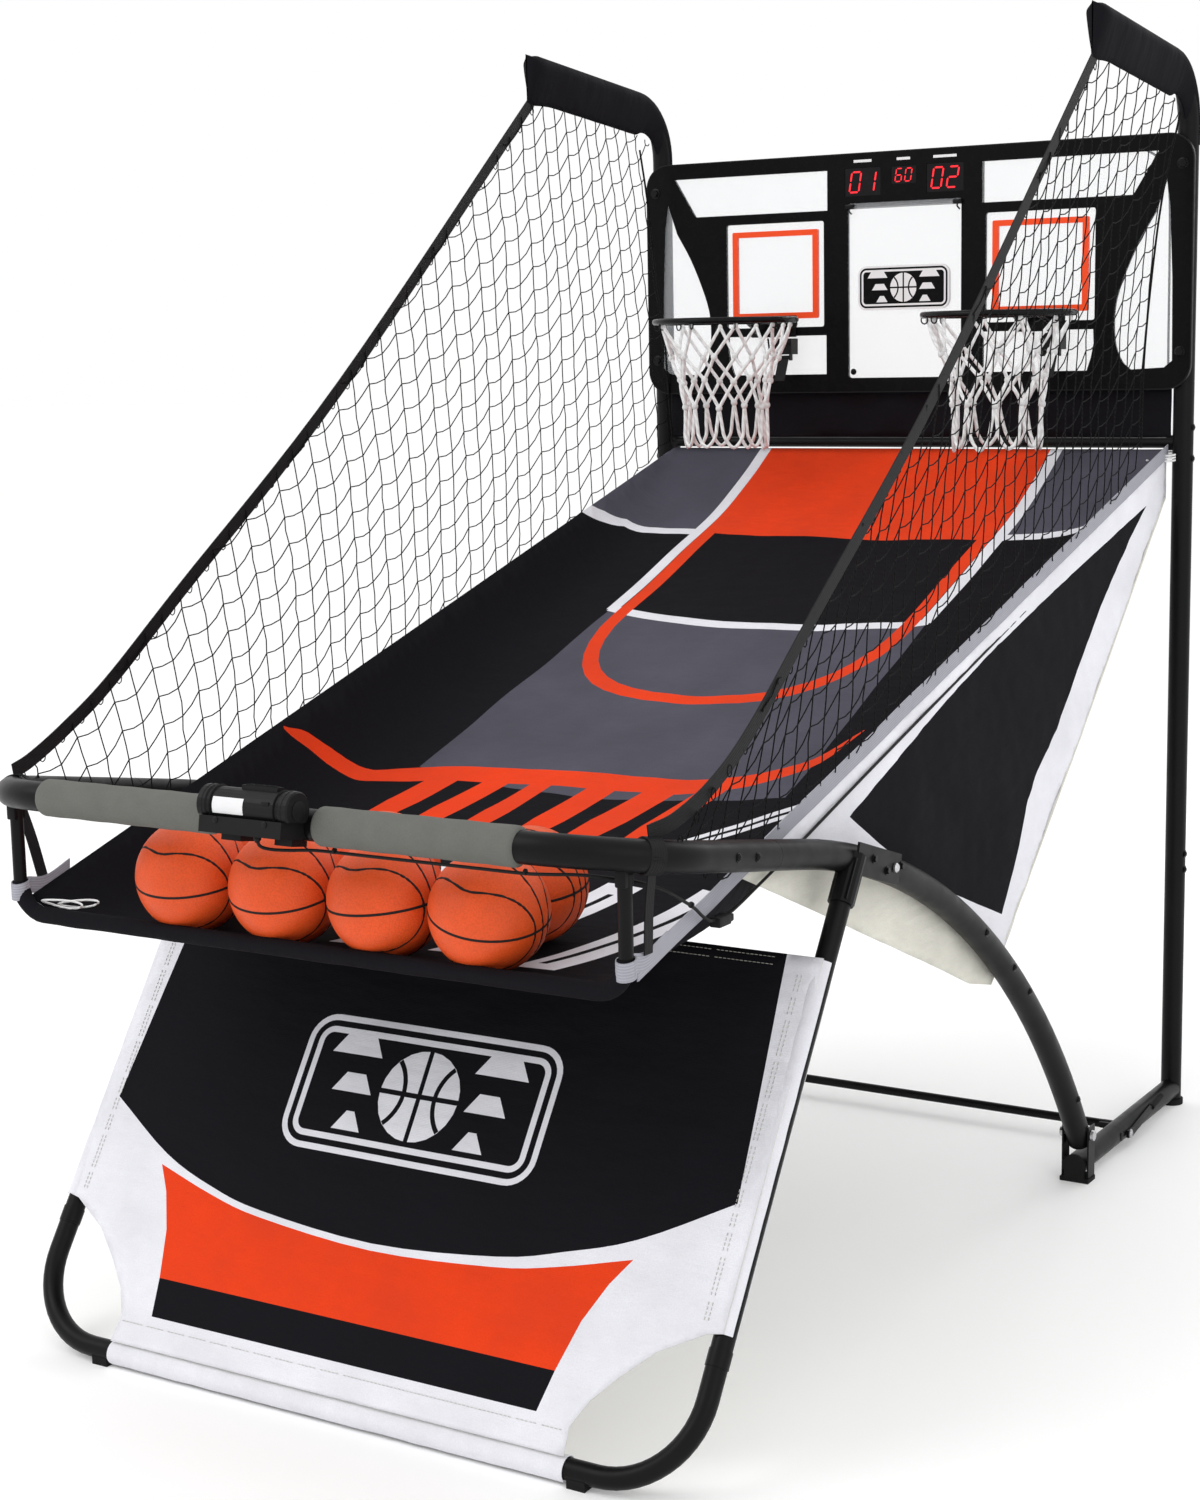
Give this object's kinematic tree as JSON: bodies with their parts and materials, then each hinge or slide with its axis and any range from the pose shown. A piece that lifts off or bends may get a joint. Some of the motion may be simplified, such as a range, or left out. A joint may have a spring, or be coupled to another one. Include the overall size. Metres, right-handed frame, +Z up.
{
  "type": "basketball hoop machine",
  "caption": "Folding cage basketball game: hoops and score display on a printed board, side nets, sloping return ramp, ball tray and front legs.",
  "frame": {"origin": "on the floor, at the middle of the object's width and of its depth", "axes": "+Z up, +Y towards the backboard, -Y towards the player, +X to the player's right"},
  "size_m": [1.16, 2.0964, 1.9939],
  "materials": {
    "black_steel": "satin powder coat",
    "gloss_black_steel": "gloss powder coat",
    "black_rubber": "matt moulded",
    "zinc_steel": "bright zinc",
    "board": "clear panel printed in black and orange on its rear face",
    "display_lens": "gloss smoked lens",
    "black_plastic": "fine moulded texture",
    "cable_sheath": "smooth matt sheath",
    "white_cord": "twisted cord",
    "black_net": "knitted square mesh",
    "white_fabric": "plain woven polyester",
    "printed_fabric": "printed woven polyester",
    "grey_foam": "closed-cell foam skin",
    "ball_rubber": "pebbled rubber"
  },
  "bodies": {
    "base": {"upright_left": "black_steel", "upright_right": "black_steel", "net_arm_left": "black_steel", "net_arm_right": "black_steel", "floor_rail_left": "black_steel", "floor_rail_right": "black_steel", "rear_foot_left": "black_rubber", "rear_foot_right": "black_rubber", "clevis_left": "black_steel", "clevis_right": "black_steel", "front_foot_left": "black_rubber", "front_foot_right": "black_rubber", "pivot_bolt_left": "zinc_steel", "pivot_bolt_right": "zinc_steel", "floor_crossbar": "black_steel", "rear_crossbar": "black_steel", "backboard": "board", "display_module": "display_lens", "scorer_housing": "black_plastic", "rim_left": "gloss_black_steel", "rim_right": "gloss_black_steel", "hoop_net_left": "white_cord", "hoop_net_right": "white_cord", "score_sensor_left": "black_plastic", "score_sensor_right": "black_plastic", "rear_skirt": "printed_fabric", "ramp": "printed_fabric", "side_net_left": "black_net", "side_net_right": "black_net"},
    "front_frame": {"arc_leg_left": "black_steel", "arc_leg_right": "black_steel", "front_rail": "black_steel", "foam_pad_left": "grey_foam", "foam_pad_right": "grey_foam", "tray_tube": "black_steel", "control_base": "black_plastic", "control_housing": "black_plastic", "control_cable": "cable_sheath", "leg_pin_left": "zinc_steel", "leg_pin_right": "zinc_steel", "side_panel_left": "white_fabric", "side_panel_right": "white_fabric"},
    "front_legs": {"leg_frame": "black_steel", "banner": "printed_fabric", "leg_bumper_left": "black_rubber", "leg_bumper_right": "black_rubber", "leg_yoke_left": "black_steel", "leg_yoke_right": "black_steel"},
    "lock_lever_left": {"lock_lever_left": "black_steel"},
    "score_paddle_left": {"score_paddle_left": "black_plastic"},
    "lock_lever_right": {"lock_lever_right": "black_steel"},
    "score_paddle_right": {"score_paddle_right": "black_plastic"},
    "control_button": {"control_button": "black_plastic"},
    "ball_1": {"ball_1": "ball_rubber"},
    "ball_2": {"ball_2": "ball_rubber"},
    "ball_3": {"ball_3": "ball_rubber"},
    "ball_4": {"ball_4": "ball_rubber"},
    "ball_5": {"ball_5": "ball_rubber"},
    "ball_6": {"ball_6": "ball_rubber"},
    "ball_7": {"ball_7": "ball_rubber"}
  },
  "joints": [
    {"name": "frame_fold", "type": "hinge", "parent": "base", "child": "front_frame", "pos_m": [0, 0.52083, 0.0841], "axis": [-1, 0, 0], "range_deg": [0, 55], "deforming": ["ramp", "side_net_left", "side_net_right", "side_panel_left", "side_panel_right", "control_cable"]},
    {"name": "leg_fold", "type": "hinge", "parent": "front_frame", "child": "front_legs", "pos_m": [0, -0.29677, 0.7166], "axis": [1, 0, 0], "range_deg": [0, 80]},
    {"name": "lock_left", "type": "hinge", "parent": "base", "child": "lock_lever_left", "pos_m": [-0.571, 0.72623, 0.028], "axis": [1, 0, 0], "range_deg": [0, 35]},
    {"name": "lock_right", "type": "hinge", "parent": "base", "child": "lock_lever_right", "pos_m": [0.571, 0.72623, 0.028], "axis": [1, 0, 0], "range_deg": [0, 35]},
    {"name": "paddle_left", "type": "hinge", "parent": "base", "child": "score_paddle_left", "pos_m": [-0.248, 0.97343, 1.43], "axis": [1, 0, 0], "range_deg": [0, 15], "stiffness_Nm_per_rad": 0.02, "springref_deg": -11.46},
    {"name": "paddle_right", "type": "hinge", "parent": "base", "child": "score_paddle_right", "pos_m": [0.312, 0.97343, 1.43], "axis": [1, 0, 0], "range_deg": [0, 15], "stiffness_Nm_per_rad": 0.02, "springref_deg": -11.46},
    {"name": "button_press", "type": "slide", "parent": "front_frame", "child": "control_button", "axis": [0, -0.1719, -0.9851], "range_m": [0, 0.002], "stiffness_N_per_m": 300, "springref_m": -0.004},
    {"name": "ball_1_lift", "type": "slide", "parent": "front_frame", "child": "ball_1", "axis": [0, 0.2588, 0.9659], "range_m": [0, 0.25]},
    {"name": "ball_2_lift", "type": "slide", "parent": "front_frame", "child": "ball_2", "axis": [0, 0.2588, 0.9659], "range_m": [0, 0.25]},
    {"name": "ball_3_lift", "type": "slide", "parent": "front_frame", "child": "ball_3", "axis": [0, 0.2588, 0.9659], "range_m": [0, 0.25]},
    {"name": "ball_4_lift", "type": "slide", "parent": "front_frame", "child": "ball_4", "axis": [0, 0.2588, 0.9659], "range_m": [0, 0.25]},
    {"name": "ball_5_lift", "type": "slide", "parent": "front_frame", "child": "ball_5", "axis": [0, 0.2588, 0.9659], "range_m": [0, 0.25]},
    {"name": "ball_6_lift", "type": "slide", "parent": "front_frame", "child": "ball_6", "axis": [0, 0.2588, 0.9659], "range_m": [0, 0.25]},
    {"name": "ball_7_lift", "type": "slide", "parent": "front_frame", "child": "ball_7", "axis": [0, 0.2588, 0.9659], "range_m": [0, 0.25]}
  ]
}
